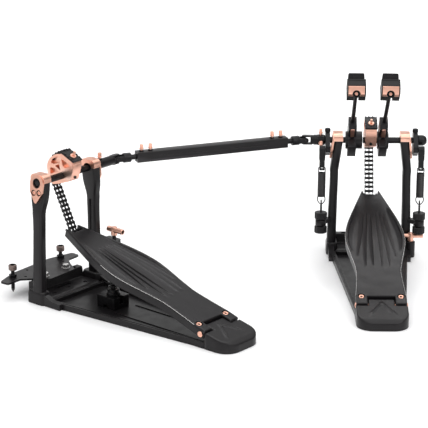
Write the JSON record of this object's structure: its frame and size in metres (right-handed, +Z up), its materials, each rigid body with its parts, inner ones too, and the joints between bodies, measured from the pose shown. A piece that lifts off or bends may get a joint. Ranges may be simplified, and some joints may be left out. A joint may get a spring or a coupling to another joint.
{
  "type": "bass drum pedal",
  "caption": "Twin bass drum pedal: a main pedal with a pair of beaters, a slave pedal and a telescoping drive shaft with universal joints between them.",
  "frame": {"origin": "on the floor under the middle of the main pedal's axle", "axes": "+Z up, +Y from the main pedal towards the drum, +X towards the player's right along the main axle"},
  "size_m": [0.6586, 0.4924, 0.3179],
  "materials": {
    "satin_black": "satin powder coat",
    "black_steel": "blacked, satin",
    "satin_copper": "copper-coloured, satin",
    "chain_black": "blacked",
    "spring_black": "blacked wire",
    "knurled_black": "blacked and knurled",
    "black_plastic": "matte",
    "black_felt": "pressed felt",
    "brown_bolt": "brown-grey, satin"
  },
  "bodies": {
    "main_frame": {"main_base_plate": "satin_black", "main_cross_member": "satin_black", "main_heel_plate": "satin_black", "main_hinge_pin": "satin_copper", "main_spring_block": "black_steel", "main_board_spring": "spring_black", "main_post_left": "satin_black", "main_post_right": "satin_black", "main_housing_left": "satin_copper", "main_housing_right": "satin_copper", "left_side_spring": "spring_black", "right_side_spring": "spring_black", "left_spring_eye": "black_steel", "right_spring_eye": "black_steel"},
    "main_treadle": {"main_footboard": "satin_black"},
    "main_chain_strand": {"main_chain": "chain_black"},
    "main_rotor": {"main_axle": "black_steel", "main_cam": "satin_copper", "main_cam_chain": "chain_black", "right_beater_holder": "satin_black", "right_rocker": "black_steel"},
    "right_beater": {"right_beater_rod": "black_steel", "right_beater_head": "black_plastic", "right_beater_cap": "satin_copper", "right_beater_felt": "black_felt"},
    "left_rotor": {"drive_socket": "black_steel", "left_beater_holder": "satin_black", "left_rocker": "black_steel"},
    "left_beater": {"left_beater_rod": "black_steel", "left_beater_head": "black_plastic", "left_beater_cap": "satin_copper", "left_beater_felt": "black_felt"},
    "right_spring_link": {"right_spring_hook": "black_steel"},
    "left_spring_link": {"left_spring_hook": "black_steel"},
    "right_adjuster": {"right_spring_adjuster": "knurled_black"},
    "left_adjuster": {"left_spring_adjuster": "knurled_black"},
    "main_clamp_bolt": {"main_t_bolt": "satin_copper"},
    "hoop_jaw": {"main_hoop_jaw": "black_plastic"},
    "drive_shaft": {"drive_tube": "satin_black", "shaft_rod_main": "black_steel"},
    "slave_frame": {"slave_base_plate": "satin_black", "slave_cross_member": "satin_black", "slave_heel_plate": "satin_black", "slave_hinge_pin": "satin_copper", "slave_spring_block": "black_steel", "slave_board_spring": "spring_black", "slave_post_left": "satin_black", "slave_post_right": "satin_black", "slave_housing_left": "satin_copper", "slave_housing_right": "satin_copper", "slave_stabiliser_plate": "satin_black"},
    "slave_shaft_rod": {"shaft_rod_slave": "black_steel"},
    "slave_treadle": {"slave_footboard": "satin_black"},
    "slave_chain_strand": {"slave_chain": "chain_black"},
    "slave_rotor": {"slave_axle": "black_steel", "slave_cam": "satin_copper", "slave_cam_chain": "chain_black"},
    "slave_clamp_bolt": {"slave_t_bolt": "satin_copper"},
    "spur_left": {"slave_spur_bolt_left": "brown_bolt"},
    "spur_right": {"slave_spur_bolt_right": "brown_bolt"}
  },
  "joints": [
    {"name": "main_treadle_hinge", "type": "hinge", "parent": "main_frame", "child": "main_treadle", "pos_m": [0, -0.299, 0.0204], "axis": [-1, 0, 0], "range_deg": [0, 5.5], "stiffness_Nm_per_rad": 20, "springref_deg": -8.59, "deforming": ["main_board_spring"]},
    {"name": "main_chain_pivot", "type": "hinge", "parent": "main_treadle", "child": "main_chain_strand", "pos_m": [0, -0.01421, 0.1011], "axis": [-1, 0, 0], "range_deg": [-16, 0]},
    {"name": "main_rotor_turn", "type": "hinge", "parent": "main_frame", "child": "main_rotor", "pos_m": [0, 0, 0.1888], "axis": [-1, 0, 0], "range_deg": [0, 47]},
    {"name": "right_beater_height", "type": "slide", "parent": "main_rotor", "child": "right_beater", "axis": [0.0253, -0.6818, 0.7311], "range_m": [-0.012, 0.012]},
    {"name": "left_rotor_turn", "type": "hinge", "parent": "main_frame", "child": "left_rotor", "pos_m": [0, 0, 0.1888], "axis": [-1, 0, 0], "range_deg": [0, 47]},
    {"name": "left_beater_height", "type": "slide", "parent": "left_rotor", "child": "left_beater", "axis": [0, -0.682, 0.7314], "range_m": [-0.012, 0.012]},
    {"name": "right_spring_pull", "type": "slide", "parent": "main_frame", "child": "right_spring_link", "axis": [0, 0, 1], "range_m": [0, 0.018], "deforming": ["right_side_spring"]},
    {"name": "left_spring_pull", "type": "slide", "parent": "main_frame", "child": "left_spring_link", "axis": [0, 0, 1], "range_m": [0, 0.018], "deforming": ["left_side_spring"]},
    {"name": "right_adjuster_turn", "type": "hinge", "parent": "main_frame", "child": "right_adjuster", "pos_m": [0.0784, -0.02, 0.0575], "axis": [0, 0, 1], "continuous": true},
    {"name": "left_adjuster_turn", "type": "hinge", "parent": "main_frame", "child": "left_adjuster", "pos_m": [-0.0784, -0.02, 0.0575], "axis": [0, 0, 1], "continuous": true},
    {"name": "main_clamp_bolt_turn", "type": "hinge", "parent": "main_frame", "child": "main_clamp_bolt", "pos_m": [0.0665, -0.0175, 0.035], "axis": [0, 0, 1], "range_deg": [-20, 20]},
    {"name": "hoop_jaw_pivot", "type": "hinge", "parent": "main_frame", "child": "hoop_jaw", "pos_m": [0, 0.0335, 0.018], "axis": [1, 0, 0], "range_deg": [-8, 12]},
    {"name": "drive_shaft_turn", "type": "hinge", "parent": "main_frame", "child": "drive_shaft", "pos_m": [-0.106, 0, 0.1888], "axis": [-0.9317, -0.3633, 0], "range_deg": [0, 47]},
    {"name": "shaft_length", "type": "slide", "parent": "main_frame", "child": "slave_frame", "axis": [-0.9317, -0.3633, 0], "range_m": [-0.008, 0.06]},
    {"name": "slave_shaft_rod_turn", "type": "hinge", "parent": "slave_frame", "child": "slave_shaft_rod", "pos_m": [-0.3988, -0.11419, 0.1888], "axis": [-0.9317, -0.3633, 0], "range_deg": [0, 47]},
    {"name": "slave_treadle_hinge", "type": "hinge", "parent": "slave_frame", "child": "slave_treadle", "pos_m": [-0.24159, -0.39169, 0.0204], "axis": [-0.6441, -0.7649, 0], "range_deg": [0, 5.5], "stiffness_Nm_per_rad": 20, "springref_deg": -8.59, "deforming": ["slave_board_spring"]},
    {"name": "slave_chain_pivot", "type": "hinge", "parent": "slave_treadle", "child": "slave_chain_strand", "pos_m": [-0.45943, -0.20825, 0.1011], "axis": [-0.6441, -0.7649, 0], "range_deg": [-16, 0]},
    {"name": "slave_rotor_turn", "type": "hinge", "parent": "slave_frame", "child": "slave_rotor", "pos_m": [-0.4703, -0.1991, 0.1888], "axis": [-0.6441, -0.7649, 0], "range_deg": [0, 47]},
    {"name": "slave_clamp_bolt_turn", "type": "hinge", "parent": "slave_frame", "child": "slave_clamp_bolt", "pos_m": [-0.4017, -0.1549, 0.087], "axis": [0, 0, 1], "range_deg": [-20, 20]},
    {"name": "spur_left_screw", "type": "slide", "parent": "slave_frame", "child": "spur_left", "axis": [0, 0, 1], "range_m": [-0.003, 0.007]},
    {"name": "spur_right_screw", "type": "slide", "parent": "slave_frame", "child": "spur_right", "axis": [0, 0, 1], "range_m": [-0.003, 0.007]}
  ],
  "couplings": [
    {"joint": "main_chain_pivot", "follows": "main_treadle_hinge", "ratio": -2.8},
    {"joint": "main_rotor_turn", "follows": "main_treadle_hinge", "ratio": 8.5},
    {"joint": "right_spring_pull", "follows": "main_treadle_hinge", "m_per_rad": 0.1846},
    {"joint": "slave_chain_pivot", "follows": "slave_treadle_hinge", "ratio": -2.8},
    {"joint": "slave_rotor_turn", "follows": "slave_treadle_hinge", "ratio": 8.5},
    {"joint": "slave_shaft_rod_turn", "follows": "slave_treadle_hinge", "ratio": 8.5},
    {"joint": "drive_shaft_turn", "follows": "slave_treadle_hinge", "ratio": 8.5},
    {"joint": "left_rotor_turn", "follows": "slave_treadle_hinge", "ratio": 8.5},
    {"joint": "left_spring_pull", "follows": "slave_treadle_hinge", "m_per_rad": 0.1846}
  ]
}
